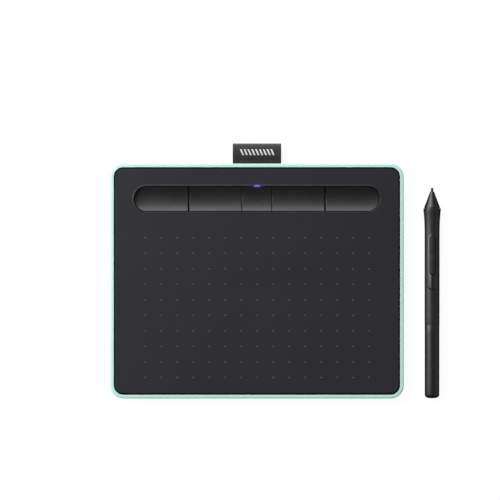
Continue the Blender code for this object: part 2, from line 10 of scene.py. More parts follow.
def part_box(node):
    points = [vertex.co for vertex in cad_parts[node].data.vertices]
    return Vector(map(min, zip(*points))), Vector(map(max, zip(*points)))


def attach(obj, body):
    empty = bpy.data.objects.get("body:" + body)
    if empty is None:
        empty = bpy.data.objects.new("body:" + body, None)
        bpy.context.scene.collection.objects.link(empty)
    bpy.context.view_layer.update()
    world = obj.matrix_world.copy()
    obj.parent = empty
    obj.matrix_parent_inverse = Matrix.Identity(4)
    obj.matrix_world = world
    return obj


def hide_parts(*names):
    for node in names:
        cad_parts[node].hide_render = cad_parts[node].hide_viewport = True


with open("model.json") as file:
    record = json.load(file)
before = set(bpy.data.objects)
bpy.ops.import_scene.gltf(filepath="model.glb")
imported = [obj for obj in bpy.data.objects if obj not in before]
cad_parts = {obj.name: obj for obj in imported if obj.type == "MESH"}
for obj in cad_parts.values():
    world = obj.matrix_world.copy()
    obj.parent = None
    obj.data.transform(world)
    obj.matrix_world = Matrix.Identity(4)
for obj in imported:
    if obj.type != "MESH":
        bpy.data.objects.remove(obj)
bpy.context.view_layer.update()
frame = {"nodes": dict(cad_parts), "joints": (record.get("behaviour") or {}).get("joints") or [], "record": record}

MM = 0.001
JOINTS = {joint["name"]: joint for joint in frame["joints"]}


def box_mm(node):
    low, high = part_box(node)
    return low / MM, high / MM


# ---------------------------------------------------------------- sizes read from the CAD frame
shell_low, shell_high = box_mm("bottom_housing")
HX = shell_high.x
HY = shell_high.y
RIM_Z = shell_high.z
UNDER_Z = shell_low.z
CORNER_R = 9.0
FILLET_IN = 9.0
FILLET_UP = 5.7
FLOOR_Z = 2.2
WALL_IN = 4.2
LEDGE_Z = 6.6
RIM_W = 2.45
CROWN_IN = 2.25
CROWN_Z = 7.4

cover_low, cover_high = box_mm("top_cover")
COVER_HX = cover_high.x
COVER_HY = cover_high.y
COVER_TOP = cover_high.z
COVER_LOW = 7.3
COVER_R = 5.6

key_low, key_high = box_mm("key_1")
last_low, last_high = box_mm("key_4")
TROUGH_Y = (key_low.y + key_high.y) / 2
KEY_R = 8.4
KEY_SPINE = last_high.x - KEY_R
OPENING_R = 8.75
SKIRT_R = 9.5
SKIRT_Z = 6.55
KEY_BOTTOM = key_low.z
KEY_EDGE_Z = key_high.z
KEY_CENTRE_Z = 5.9
KEY_END_LIFT = 0.35
FLANGE_Y = 9.4
FLANGE_Z = 6.3

lens_low, lens_high = box_mm("led_lens")
LENS_Y = (lens_low.y + lens_high.y) / 2

foot_low, foot_high = box_mm("foot_2")
FOOT_X = (foot_low.x + foot_high.x) / 2
FOOT_Y = (foot_low.y + foot_high.y) / 2
FOOT_R = (foot_high.x - foot_low.x) / 2
FOOT_TOP = foot_high.z

loop_low, loop_high = box_mm("pen_loop")
LOOP_Z = (loop_low.z + loop_high.z) / 2

# The pen's own frame: x across, y towards the tip, z up through the side switch.
tail_way = Vector(JOINTS["nib_press"]["axis"]).normalized()
pen_up = Vector((1, 0, 0)).cross(-tail_way)
SWITCH_AT = 45.0
SWITCH_UP = 4.6
pen_tip = Vector(JOINTS["side_switch_rock"]["pos_m"]) / MM - pen_up * SWITCH_UP - tail_way * SWITCH_AT
PEN = Matrix.Translation(pen_tip) @ Matrix((
    (1, -tail_way.x, pen_up.x, 0),
    (0, -tail_way.y, pen_up.y, 0),
    (0, -tail_way.z, pen_up.z, 0),
    (0, 0, 0, 1),
))


# ---------------------------------------------------------------- node material helpers
class Finish:
    """A Principled material built up from procedural nodes in object space."""

    def __init__(self, name, colour, roughness, metallic=0.0, specular=0.5):
        self.mat = bpy.data.materials.new(name)
        self.mat.use_nodes = True
        self.tree = self.mat.node_tree
        self.shader = self.tree.nodes["Principled BSDF"]
        self.coords = self.tree.nodes.new("ShaderNodeTexCoord").outputs["Object"]
        self.set("Base Color", (*colour, 1.0))
        self.set("Roughness", roughness)
        self.set("Metallic", metallic)
        self.set("Specular IOR Level", specular)
        self.colour = None
        self.base = colour
        self.rough = roughness
        self.normal = None

    def set(self, name, value):
        self.shader.inputs[name].default_value = value

    def node(self, kind, inputs=None, **settings):
        made = self.tree.nodes.new(kind)
        for key, value in settings.items():
            setattr(made, key, value)
        for key, value in (inputs or {}).items():
            if isinstance(value, bpy.types.NodeSocket):
                self.tree.links.new(value, made.inputs[key])
            else:
                made.inputs[key].default_value = value
        return made

    def math(self, operation, a, b=0.0, c=0.0):
        made = self.node("ShaderNodeMath", {0: a, 1: b, 2: c}, operation=operation)
        return made.outputs[0]

    def noise(self, scale, detail=3.0, rough=0.6, stretch=None):
        coords = self.coords
        if stretch is not None:
            coords = self.node("ShaderNodeMapping", {"Vector": coords, "Scale": stretch}).outputs[0]
        made = self.node("ShaderNodeTexNoise", {"Vector": coords, "Scale": scale, "Detail": detail,
                                                "Roughness": rough})
        return made.outputs["Fac"]

    def remap(self, value, low, high, to_low, to_high):
        made = self.node("ShaderNodeMapRange", {0: value, 1: low, 2: high, 3: to_low, 4: to_high})
        return made.outputs[0]

    def mix(self, factor, a, b):
        made = self.node("ShaderNodeMix", data_type="RGBA")
        for index, value in ((0, factor), (6, a), (7, b)):
            if isinstance(value, bpy.types.NodeSocket):
                self.tree.links.new(value, made.inputs[index])
            elif index == 0:
                made.inputs[0].default_value = value
            else:
                made.inputs[index].default_value = (*value, 1.0)
        return made.outputs[2]

    def paint(self, colour):
        self.colour = colour
        self.tree.links.new(colour, self.shader.inputs["Base Color"])

    def vary(self, scale, share, detail=3.0):
        """Slow drift of the base colour, lighter and darker by a share of it."""
        light = tuple(min(1.0, c * (1 + share)) for c in self.base)
        dark = tuple(c * (1 - share) for c in self.base)
        factor = self.remap(self.noise(scale, detail), 0.3, 0.7, 0.0, 1.0)
        self.paint(self.mix(factor, dark, light))

    def roughen(self, scale, low, high, detail=3.0, stretch=None):
        value = self.remap(self.noise(scale, detail, 0.6, stretch), 0.3, 0.7, low, high)
        self.tree.links.new(value, self.shader.inputs["Roughness"])

    def bump(self, height, distance, strength=1.0):
        inputs = {"Height": height, "Distance": distance, "Strength": strength}
        if self.normal is not None:
            inputs["Normal"] = self.normal
        self.normal = self.node("ShaderNodeBump", inputs).outputs[0]
        self.tree.links.new(self.normal, self.shader.inputs["Normal"])

    def edge_mask(self, radius, low=0.02, high=0.25):
        """Value that rises to 1 along sharp edges."""
        soft = self.node("ShaderNodeBevel", {"Radius": radius}, samples=4).outputs[0]
        true = self.node("ShaderNodeNewGeometry").outputs["Normal"]
        dot = self.node("ShaderNodeVectorMath", {0: soft, 1: true}, operation="DOT_PRODUCT").outputs["Value"]
        away = self.math("SUBTRACT", 1.0, dot)
        return self.remap(away, low, high, 0.0, 1.0)

    def wear(self, radius, colour, amount, scale=300.0):
        """Lighter, broken line along edges where hands and desks rub."""
        broken = self.remap(self.noise(scale, 4.0), 0.35, 0.65, 0.0, amount)
        factor = self.math("MULTIPLY", self.edge_mask(radius), broken)
        under = self.colour if self.colour is not None else self.base
        self.paint(self.mix(factor, under, colour))


def moulded(name, colour, roughness, grain=2600.0, depth=0.000012, drift=0.05, specular=0.5, wear=None):
    """Moulded plastic: fine spark-eroded grain, slight colour drift, uneven sheen."""
    finish = Finish(name, colour, roughness, specular=specular)
    finish.vary(24.0, drift)
    if wear is not None:
        finish.wear(0.0003, wear, 0.35)
    finish.roughen(60.0, roughness - 0.05, roughness + 0.06)
    finish.bump(finish.noise(grain, 2.0, 0.5), depth, 0.8)
    return finish


# ---------------------------------------------------------------- mesh helpers
def rounded_ring(hx, hy, r, z, steps=18):
    points = []
    for k, (sx, sy) in enumerate(((1, 1), (-1, 1), (-1, -1), (1, -1))):
        for i in range(steps + 1):
            a = math.pi / 2 * (k + i / steps)
            points.append((sx * (hx - r) + r * math.cos(a), sy * (hy - r) + r * math.sin(a), z))
    return points


def stadium_ring(spine, r, z, steps=28, cx=0.0, cy=0.0):
    points = []
    for side in (1, -1):
        for i in range(steps + 1):
            a = -math.pi / 2 + math.pi * i / steps
            if side < 0:
                a += math.pi
            points.append((cx + side * spine + r * math.cos(a), cy + r * math.sin(a), z))
    return points


def circle(cx, cy, r, z, steps=48):
    return [(cx + r * math.cos(2 * math.pi * i / steps), cy + r * math.sin(2 * math.pi * i / steps), z)
            for i in range(steps)]


def pill_y(half_w, y0, y1, z, steps=14):
    """Ring with straight sides along Y and round ends at y0 and y1."""
    points = []
    for i in range(steps + 1):
        a = math.pi * i / steps
        points.append((half_w * math.cos(a), y1 - half_w + half_w * math.sin(a), z))
    for i in range(steps + 1):
        a = math.pi + math.pi * i / steps
        points.append((half_w * math.cos(a), y0 + half_w + half_w * math.sin(a), z))
    return points


def loft(rings, closed=False, bm=None):
    """Skin through rings of equal length; caps both ends unless it is closed on itself."""
    bm = bm or bmesh.new()
    loops = [[bm.verts.new(p) for p in ring] for ring in rings]
    count = len(rings[0])
    pairs = list(zip(loops[:-1], loops[1:]))
    if closed:
        pairs.append((loops[-1], loops[0]))
    for low, high in pairs:
        for i in range(count):
            j = (i + 1) % count
            bm.faces.new((low[i], low[j], high[j], high[i]))
    if not closed:
        bm.faces.new(list(reversed(loops[0])))
        bm.faces.new(loops[-1])
    return bm


def turned(profile, steps=96, closed=False, bm=None):
    """Skin turned about the pen's line; profile of (distance from the tip, radius)."""
    rings = []
    for s, r in profile:
        rings.append([(r * math.cos(2 * math.pi * i / steps), -s, r * math.sin(2 * math.pi * i / steps))
                      for i in range(steps)])
    return loft(rings, closed, bm)


def solid_from(name, bm, matrix=None):
    bmesh.ops.recalc_face_normals(bm, faces=bm.faces)
    if matrix is not None:
        bmesh.ops.transform(bm, matrix=matrix, verts=bm.verts)
    bmesh.ops.scale(bm, vec=(MM, MM, MM), verts=bm.verts)
    mesh = bpy.data.meshes.new(name)
    bm.to_mesh(mesh)
    bm.free()
    obj = bpy.data.objects.new(name, mesh)
    bpy.context.scene.collection.objects.link(obj)
    return obj


def carve(obj, operation, bm, matrix=None):
    """Exact boolean with a helper that is dropped afterwards."""
    tool = solid_from("helper", bm, matrix)
    mod = obj.modifiers.new("carve", "BOOLEAN")
    mod.operation = operation
    mod.solver = "EXACT"
    mod.object = tool
    bpy.context.view_layer.update()
    graph = bpy.context.evaluated_depsgraph_get()
    mesh = bpy.data.meshes.new_from_object(obj.evaluated_get(graph))
    obj.modifiers.remove(mod)
    obj.data = mesh
    bpy.data.objects.remove(tool)


def dress(obj, finish, body, slot, *nodes, sharp=32, weighted=False):
    """Shading, material, body and the CAD nodes a piece stands for; the slot argument is not used."""
    obj.data.materials.clear()
    obj.data.materials.append(finish.mat)
    for poly in obj.data.polygons:
        poly.use_smooth = True
    obj.data.set_sharp_from_angle(angle=math.radians(sharp))
    if weighted:
        mod = obj.modifiers.new("normals", "WEIGHTED_NORMAL")
        mod.keep_sharp = True
    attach(obj, body)
    if nodes:
        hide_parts(*nodes)
    return obj


def spline(points, per_span=8):
    """Smooth curve through 2-D points."""
    out = []
    count = len(points)
    for i in range(count - 1):
        p0 = Vector(points[max(i - 1, 0)])
        p1 = Vector(points[i])
        p2 = Vector(points[i + 1])
        p3 = Vector(points[min(i + 2, count - 1)])
        for k in range(per_span):
            t = k / per_span
            out.append(0.5 * (2 * p1 + (p2 - p0) * t + (2 * p0 - 5 * p1 + 4 * p2 - p3) * t * t
                              + (3 * p1 - p0 - 3 * p2 + p3) * t ** 3))
    out.append(Vector(points[-1]))
    return out


# ---------------------------------------------------------------- finishes
MINT = (0.475, 0.78, 0.66)
mint = moulded("mint_shell", MINT, 0.42, grain=1900.0, depth=0.00001, drift=0.025, wear=(0.62, 0.84, 0.75))
foot_rubber = moulded("mint_foot", (0.42, 0.71, 0.59), 0.62, grain=1500.0, depth=0.00002, drift=0.04,
                      specular=0.35)
key_plastic = moulded("key_black", (0.014, 0.0138, 0.0145), 0.38, grain=2400.0, depth=0.000006, drift=0.08,
                      wear=(0.06, 0.06, 0.06))
# Painted highlight: the bead's colour is lighter than the face so that the lip reads as a bright line.
bead_painted_highlight = moulded("cover_bead_painted_highlight", (0.017, 0.0165, 0.018), 0.36, grain=2400.0, depth=0.000004, drift=0.08)
nose_plastic = moulded("pen_nose", (0.010, 0.010, 0.011), 0.17, grain=3200.0, depth=0.000003, drift=0.1)
grip_rubber = moulded("pen_grip", (0.012, 0.012, 0.013), 0.42, grain=2800.0, depth=0.00001, drift=0.12,
                      specular=0.5)
barrel_plastic = moulded("pen_barrel", (0.012, 0.012, 0.0125), 0.33, grain=2600.0, depth=0.000005, drift=0.1)
rocker_plastic = moulded("pen_rocker", (0.02, 0.02, 0.021), 0.3, grain=2600.0, depth=0.000004, drift=0.1)
bezel_plastic = moulded("pen_bezel", (0.013, 0.013, 0.014), 0.22, grain=2600.0, depth=0.000004, drift=0.1)
cap_plastic = moulded("pen_cap", (0.016, 0.016, 0.017), 0.16, grain=2600.0, depth=0.000002, drift=0.08)
nib_plastic = moulded("pen_nib", (0.003, 0.003, 0.0032), 0.6, grain=4000.0, depth=0.000004, drift=0.1,
                      specular=0.15)


def led_glow(finish):
    """Blue light of the LED spilling over the parts next to its lens."""
    split = finish.node("ShaderNodeSeparateXYZ", {"Vector": finish.coords})
    x = finish.math("DIVIDE", split.outputs["X"], MM)
    y = finish.math("SUBTRACT", finish.math("DIVIDE", split.outputs["Y"], MM), LENS_Y)
    past = finish.math("DIVIDE", finish.math("MAXIMUM", finish.math(
        "SUBTRACT", finish.math("ABSOLUTE", x), 1.4), 0.0), 1.9)
    off = finish.math("DIVIDE", y, 1.15)
    square = finish.math("ADD", finish.math("MULTIPLY", past, past), finish.math("MULTIPLY", off, off))
    fall = finish.math("EXPONENT", finish.math("MULTIPLY", square, -1.0))
    finish.set("Emission Color", (0.05, 0.10, 1.0, 1.0))
    finish.tree.links.new(finish.math("MULTIPLY", fall, 0.2), finish.shader.inputs["Emission Strength"])


led_glow(key_plastic)
led_glow(bead_painted_highlight)


def dull_tail(finish):
    """The rounded end of the pen is duller than its sides, so it reads as nearly black."""
    split = finish.node("ShaderNodeSeparateXYZ", {"Vector": finish.coords})
    y = finish.math("DIVIDE", split.outputs["Y"], MM)
    sheen = finish.remap(y, TAIL_Y, TAIL_Y + 0.7, 0.12, 0.5)
    finish.tree.links.new(sheen, finish.shader.inputs["Specular IOR Level"])


TAIL_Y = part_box("tail_cap")[0].y / MM + 2.1
dull_tail(barrel_plastic)


def cover_finish():
    """Black drawing face: paper-like tooth, faint rub marks and a printed grid of dots."""
    finish = Finish("cover_black", (0.0116, 0.0104, 0.0158), 0.5, specular=0.39)
    finish.vary(9.0, 0.06)
    across = finish.node("ShaderNodeSeparateXYZ", {"Vector": finish.coords})
    x = finish.math("DIVIDE", across.outputs["X"], MM)
    y = finish.math("DIVIDE", across.outputs["Y"], MM)
    z = finish.math("DIVIDE", across.outputs["Z"], MM)
    pitch_x = 10.878
    pitch_y = 10.578
    mid_x = 0.14
    mid_y = -18.07
    columns = 15
    rows = 10
    row_x = finish.math("SUBTRACT", x, mid_x)
    near_x = finish.math("SUBTRACT", row_x, finish.math("MULTIPLY", finish.math("ROUND", finish.math(
        "DIVIDE", row_x, pitch_x)), pitch_x))
    row_y = finish.math("SUBTRACT", y, mid_y)
    row_mid = finish.math("MULTIPLY", finish.math("ADD", finish.math("FLOOR", finish.math(
        "DIVIDE", row_y, pitch_y)), 0.5), pitch_y)
    near_y = finish.math("SUBTRACT", row_y, row_mid)
    away = finish.math("SQRT", finish.math("ADD", finish.math("MULTIPLY", near_x, near_x),
                                           finish.math("MULTIPLY", near_y, near_y)))
    dot = finish.remap(away, 0.36, 0.44, 1.0, 0.0)
    inside_x = finish.math("LESS_THAN", finish.math("ABSOLUTE", row_x), pitch_x * columns / 2)
    inside_y = finish.math("LESS_THAN", finish.math("ABSOLUTE", row_y), pitch_y * rows / 2)
    on_top = finish.math("GREATER_THAN", z, COVER_TOP - 0.1)
    inside = finish.math("MULTIPLY", finish.math("MULTIPLY", inside_x, inside_y), on_top)
    factor = finish.math("MULTIPLY", dot, inside)
    finish.paint(finish.mix(factor, finish.colour, (0.115, 0.113, 0.118)))
    finish.wear(0.0003, (0.05, 0.05, 0.052), 0.3)
    rubs = finish.remap(finish.noise(14.0, 5.0, 0.65, (1.0, 2.2, 1.0)), 0.35, 0.65, 0.485, 0.54)
    finish.tree.links.new(rubs, finish.shader.inputs["Roughness"])
    finish.bump(finish.noise(1700.0, 3.0, 0.6), 0.000014, 0.7)
    led_glow(finish)
    return finish


cover_black = cover_finish()


def fabric_finish():
    """Woven ribbon: ribs across the width, fine warp between them, and a plain woven band of slanted dashes."""
    finish = Finish("loop_ribbon", (0.021, 0.0185, 0.0195), 0.8, specular=0.3)
    along = finish.node("ShaderNodeAttribute", attribute_name="ribbon_along").outputs["Fac"]
    across = finish.node("ShaderNodeAttribute", attribute_name="ribbon_across").outputs["Fac"]
    rib = finish.math("SINE", finish.math("MULTIPLY", along, 2 * math.pi / 0.62))
    shift = finish.math("MULTIPLY", finish.math("SIGN", rib), math.pi / 2)
    warp = finish.math("SINE", finish.math("ADD", finish.math("MULTIPLY", across, 2 * math.pi / 0.55), shift))
    weave = finish.math("MULTIPLY", finish.math("ABSOLUTE", rib), finish.math("MULTIPLY_ADD", warp, 0.5, 0.5))
    fuzz = finish.noise(2600.0, 4.0, 0.7)
    height = finish.math("ADD", weave, finish.math("MULTIPLY", fuzz, 0.5))
    # Painted shade: the ribbon is coloured darker where the weave is low, between the ribs and warp threads, and
    # lighter on the raised threads.
    shade = finish.mix(finish.remap(weave, 0.0, 0.8, 0.0, 1.0), (0.012, 0.0105, 0.011), (0.034, 0.029, 0.031))
    shade = finish.mix(finish.remap(finish.noise(90.0, 3.0), 0.35, 0.65, 0.0, 0.25), shade, (0.045, 0.04, 0.042))
    # A row of slanted dashes woven in off-white thread on the upper face.
    slant = finish.math("MULTIPLY_ADD", along, 0.45, across)
    step = finish.math("SUBTRACT", slant, finish.math("MULTIPLY", finish.math(
        "ROUND", finish.math("DIVIDE", slant, 2.6)), 2.6))
    dash = finish.remap(finish.math("ABSOLUTE", step), 0.5, 0.62, 1.0, 0.0)
    band = finish.remap(finish.math("ABSOLUTE", finish.math("SUBTRACT", along, LOGO_ALONG)), 1.9, 2.05, 1.0, 0.0)
    width = finish.math("LESS_THAN", finish.math("ABSOLUTE", slant_mid(finish, slant)), 11.6)
    factor = finish.math("MULTIPLY", finish.math("MULTIPLY", dash, band), width)
    # Painted shade again: the off-white thread is coloured darker in the same hollows of the weave.
    thread = finish.mix(finish.remap(weave, 0.0, 0.8, 0.0, 1.0), (0.55, 0.54, 0.53), (0.92, 0.91, 0.90))
    finish.paint(finish.mix(factor, shade, thread))
    finish.set("Sheen Weight", 0.35)
    finish.set("Sheen Roughness", 0.5)
    finish.bump(finish.math("ADD", height, finish.math("MULTIPLY", factor, 0.6)), 0.00006, 0.9)
    return finish


def slant_mid(finish, slant):
    """Distance of a dash from the middle of the band."""
    return finish.math("SUBTRACT", slant, LOGO_ALONG * 0.45)


# ---------------------------------------------------------------- tablet shell
def build_shell():
    rings = []
    steps = 14
    rings.append(rounded_ring(HX - FILLET_IN, HY - FILLET_IN, CORNER_R - 0.55 * FILLET_IN, UNDER_Z))
    for k in range(1, steps + 1):
        a = math.pi / 2 * k / steps
        inset = FILLET_IN * (1 - math.sin(a))
        z = UNDER_Z + FILLET_UP * (1 - math.cos(a))
        rings.append(rounded_ring(HX - inset, HY - inset, CORNER_R - 0.55 * inset, z))
    crown = []
    for k in range(17):
        a = math.pi / 2 * k / 16
        along = CROWN_IN * (1 - max(math.cos(a), 0.0) ** 0.5)
        crown.append((along, CROWN_Z + (RIM_Z - CROWN_Z) * math.sin(a) ** 0.5))
    crown += [(RIM_W - 0.05, RIM_Z - 0.01), (RIM_W - 0.01, RIM_Z - 0.06), (RIM_W, RIM_Z - 0.15),
              (RIM_W, LEDGE_Z), (WALL_IN, LEDGE_Z), (WALL_IN, 3.6)]
    for inset, z in crown:
        rings.append(rounded_ring(HX - inset, HY - inset, CORNER_R - inset, z))
    rings.append(rounded_ring(HX - 5.6, HY - 5.6, 3.4, FLOOR_Z))
    shell = solid_from("tablet_shell", loft(rings))

    cuts = bmesh.new()
    for sx in (-1, 1):
        for sy in (-1, 1):
            cx = sx * FOOT_X
            cy = sy * FOOT_Y
            bore = ((FOOT_R + 0.3, -1.0), (FOOT_R + 0.3, 1.5), (2.2, 1.5), (2.2, 3.0), (1.2, 3.0), (1.2, 5.0))
            loft([circle(cx, cy, r, z) for r, z in bore], bm=cuts)
    usb_low, usb_high = box_mm("usb_connector")
    margin = 0.55
    port_ring = []
    for x, z in ((usb_low.x - margin, 3.0), (usb_high.x + margin, 3.0), (usb_high.x + margin, 5.75),
                 (usb_high.x + 0.05, 6.25), (usb_low.x - 0.05, 6.25), (usb_low.x - margin, 5.75)):
        port_ring.append((x, z))
    loft([[(x, 74.0, z) for x, z in port_ring], [(x, 82.0, z) for x, z in port_ring]], bm=cuts)
    slot_ring = ((loop_low.x - 0.4, 3.9), (loop_high.x + 0.4, 3.9), (loop_high.x + 0.4, 6.2), (loop_low.x - 0.4, 6.2))
    loft([[(x, 74.0, z) for x, z in slot_ring], [(x, 82.0, z) for x, z in slot_ring]], bm=cuts)
    for x in (75.3, 80.9):
        ring = [(x + 0.9 * math.cos(2 * math.pi * i / 24), 4.6 + 0.9 * math.sin(2 * math.pi * i / 24))
                for i in range(24)]
        loft([[(px, 74.0, pz) for px, pz in ring], [(px, 82.0, pz) for px, pz in ring]], bm=cuts)
    carve(shell, "DIFFERENCE", cuts)
    dress(shell, mint, "tablet", "mint_plastic", "bottom_housing", sharp=32, weighted=True)


def build_feet():
    number = 0
    for sy in (1, -1):
        for sx in (-1, 1):
            number += 1
            dome = [(1.2, 0.0), (3.6, 0.0), (4.6, 0.02), (5.3, 0.1), (5.85, 0.24), (6.25, 0.42), (6.52, 0.62),
                    (6.66, 0.82), (FOOT_R, 1.0), (FOOT_R, FOOT_TOP)]
            rings = [circle(sx * FOOT_X, sy * FOOT_Y, r, z, 64) for r, z in dome]
            foot = solid_from("rubber_foot_%d" % number, loft(rings))
            dress(foot, foot_rubber, "tablet", "mint_rubber", "foot_%d" % number, sharp=50)


def build_cover():
    edge = ((0.0, COVER_LOW), (0.0, COVER_TOP - 0.28), (0.03, COVER_TOP - 0.17), (0.08, COVER_TOP - 0.08),
            (0.16, COVER_TOP - 0.03), (0.26, COVER_TOP))
    rings = [rounded_ring(COVER_HX - inset, COVER_HY - inset, COVER_R - inset, z) for inset, z in edge]
    cover = solid_from("drawing_face", loft(rings))
    skirt = loft([stadium_ring(KEY_SPINE, SKIRT_R, z, cy=TROUGH_Y) for z in (SKIRT_Z, COVER_LOW + 0.3)])
    carve(cover, "UNION", skirt)
    lip = ((0.0, SKIRT_Z - 1.0), (0.0, COVER_TOP - 0.2), (0.04, COVER_TOP - 0.06), (0.1, COVER_TOP),
           (0.1, COVER_TOP + 1.0))
    opening = loft([stadium_ring(KEY_SPINE, OPENING_R + out, z, cy=TROUGH_Y) for out, z in lip])
    carve(cover, "DIFFERENCE", opening)
    carve(cover, "DIFFERENCE", led_notch())
    screws = bmesh.new()
    for sx in (-1, 1):
        for sy in (-1, 1):
            ring = [circle(sx * FOOT_X, sy * FOOT_Y, r, z, 24)
                    for r, z in ((1.15, 4.5), (2.9, 4.5), (2.9, COVER_LOW + 0.2), (1.15, COVER_LOW + 0.2))]
            loft(ring, closed=True, bm=screws)
    carve(cover, "UNION", screws)
    dress(cover, cover_black, "tablet", "black_cover", "top_cover", sharp=32, weighted=True)

    # Fine raised bead round the key opening, broken at the LED. Its colour is a little lighter than the face: a painted
    # highlight along the lip, on top of the light its gloss really catches.
    path = ((0.06, -0.25), (0.06, -0.02), (0.09, 0.05), (0.17, 0.11), (0.3, 0.15), (0.45, 0.165), (0.6, 0.15),
            (0.71, 0.1), (0.79, 0.04), (0.83, 0.0), (0.83, -0.25))
    rings = [stadium_ring(KEY_SPINE, OPENING_R + out, COVER_TOP + up, 40, 0.0, TROUGH_Y) for out, up in path]
    bead = solid_from("key_opening_bead", loft(rings, closed=True))
    carve(bead, "DIFFERENCE", led_notch())
    dress(bead, bead_painted_highlight, "tablet", "black_cover", sharp=40)


def led_notch():
    """Short pocket in the edge of the opening that holds the LED lens."""
    return loft([stadium_ring(1.45, 0.68, z, 12, 0.0, LENS_Y) for z in (SKIRT_Z - 1.0, COVER_TOP + 1.0)])


# ---------------------------------------------------------------- keys
def key_height(x, y):
    """Height of the channel that runs along the keys, slightly raised at both of its ends."""
    end = min(max(abs(x) - KEY_SPINE, 0.0) / KEY_R, 1.0)
    low = KEY_CENTRE_Z + KEY_END_LIFT * end * end
    share = min(abs(y) / (KEY_R - 0.25), 1.0)
    return low + (KEY_EDGE_Z - low) * share * share


def round_drop(distance, radius):
    if distance >= radius:
        return 0.0
    part = 1 - max(distance, 0.0) / radius
    return radius * (1 - math.sqrt(max(0.0, 1 - part * part)))


def spaced(low, high, fine, count):
    """Positions from low to high with extra rows near both ends for a rounded edge."""
    ends = [0.0, 0.02, 0.06, 0.13, 0.22, fine]
    values = [low + e for e in ends]
    for i in range(1, count):
        values.append(low + fine + (high - low - 2 * fine) * i / count)
    values += [high - e for e in reversed(ends)]
    return values


def build_key(node, name):
    low, high = box_mm(node)
    x0 = low.x
    x1 = high.x
    edge_r = 0.25
    columns = []
    left_end = x0 < -KEY_SPINE
    right_end = x1 > KEY_SPINE
    straight0 = -KEY_SPINE if left_end else x0
    straight1 = KEY_SPINE if right_end else x1
    body = spaced(straight0, straight1, edge_r, 28)
    if left_end:
        body = [straight0 + (straight1 - edge_r - straight0) * i / 28 for i in range(28)]
        body += [straight1 - e for e in (edge_r, 0.22, 0.13, 0.06, 0.02, 0.0)]
    if right_end:
        body = [straight0 + e for e in (0.0, 0.02, 0.06, 0.13, 0.22, edge_r)]
        body += [straight0 + edge_r + (straight1 - straight0 - edge_r) * i / 28 for i in range(1, 29)]
    angles = [math.pi / 2 * i / 30 * 0.995 for i in range(1, 31)]
    if left_end:
        columns += [-KEY_SPINE - KEY_R * math.sin(a) for a in reversed(angles)]
    columns += body
    if right_end:
        columns += [KEY_SPINE + KEY_R * math.sin(a) for a in angles]
    shares = [0.0, 0.0025, 0.0075, 0.016, 0.027, 0.04]
    shares += [0.04 + 0.92 * i / 30 for i in range(1, 30)]
    shares += [1 - s for s in (0.04, 0.027, 0.016, 0.0075, 0.0025, 0.0)]
    bm = bmesh.new()
    grid = []
    for x in columns:
        over = max(abs(x) - KEY_SPINE, 0.0)
        half = math.sqrt(max(KEY_R ** 2 - over ** 2, 0.0))
        line = []
        for share in shares:
            y = half * (2 * share - 1)
            inward = KEY_R - math.hypot(over, y)
            side = min(9.0 if left_end else x - x0, 9.0 if right_end else x1 - x)
            z = key_height(x, y) - max(round_drop(inward, edge_r), round_drop(side, edge_r))
            line.append(bm.verts.new((x, TROUGH_Y + y, z)))
        grid.append(line)
    for a, b in zip(grid[:-1], grid[1:]):
        for i in range(len(shares) - 1):
            bm.faces.new((a[i], b[i], b[i + 1], a[i + 1]))
    rim = [line[0] for line in grid]
    rim += grid[-1][1:]
    rim += [line[-1] for line in reversed(grid[:-1])]
    rim += list(reversed(grid[0][1:-1]))
    foot = [bm.verts.new((v.co.x, v.co.y, KEY_BOTTOM)) for v in rim]
    count = len(rim)
    for i in range(count):
        j = (i + 1) % count
        bm.faces.new((rim[i], foot[i], foot[j], rim[j]))
    bm.faces.new(foot)
    flange0 = -KEY_SPINE - 2.5 if left_end else x0
    flange1 = KEY_SPINE + 2.5 if right_end else x1
    key = solid_from(name, bm)
    for sy in (-1, 1):
        y_a = TROUGH_Y + sy * (KEY_R - 0.7)
        y_b = TROUGH_Y + sy * FLANGE_Y
        outline = ((flange0, y_a), (flange1, y_a), (flange1, y_b), (flange0, y_b))
        carve(key, "UNION", loft([[(x, y, z) for x, y in outline] for z in (KEY_BOTTOM, FLANGE_Z)]))
    dress(key, key_plastic, node, "key_plastic", node, sharp=50)
    return key


def build_power_pip():
    """Small moulded pip in the middle of the power button, drawn as a darker ring: painted shade standing in for the
    shade of a small recess.
    """
    centre = TROUGH_Y - 1.4
    base = key_height(0.0, -1.4)
    profile = ((0.95, -0.2), (0.95, 0.02), (0.88, 0.05), (0.6, 0.05), (0.52, -0.04), (0.2, -0.08))
    pip = solid_from("power_pip", loft([circle(0.0, centre, r, base + z, 32) for r, z in profile]))
    dress(pip, pip_painted_shade, "power_button", "key_plastic", sharp=40)


# Painted shade: darker colour and low sheen stand in for the shade inside the power key's small recess.
pip_painted_shade = moulded("power_pip_painted_shade", (0.006, 0.006, 0.0065), 0.6, grain=2600.0, depth=0.000004, drift=0.1,
                   specular=0.2)


# ---------------------------------------------------------------- fabric loop
LOOP_HALF = (loop_high.x - loop_low.x) / 2
RIBBON = 0.6
LOGO_ALONG = 16.9


def loop_path():
    """Middle line of the ribbon in the Y and Z plane, from inside the slot, over, and back under."""
    out = loop_high.y - RIBBON / 2
    upper = [(loop_low.y + 1.0, 0.34), (76.0, 0.34), (79.9, 0.36), (81.0, 1.25), (82.6, 2.75), (84.8, 3.65),
             (87.4, 3.9), (90.0, 3.65), (92.0, 2.65), (93.05, 1.3), (out, 0.0)]
    points = spline(upper, 7)
    lower = [Vector((p.x, -p.y)) for p in reversed(points[:-1])]
    return points + lower


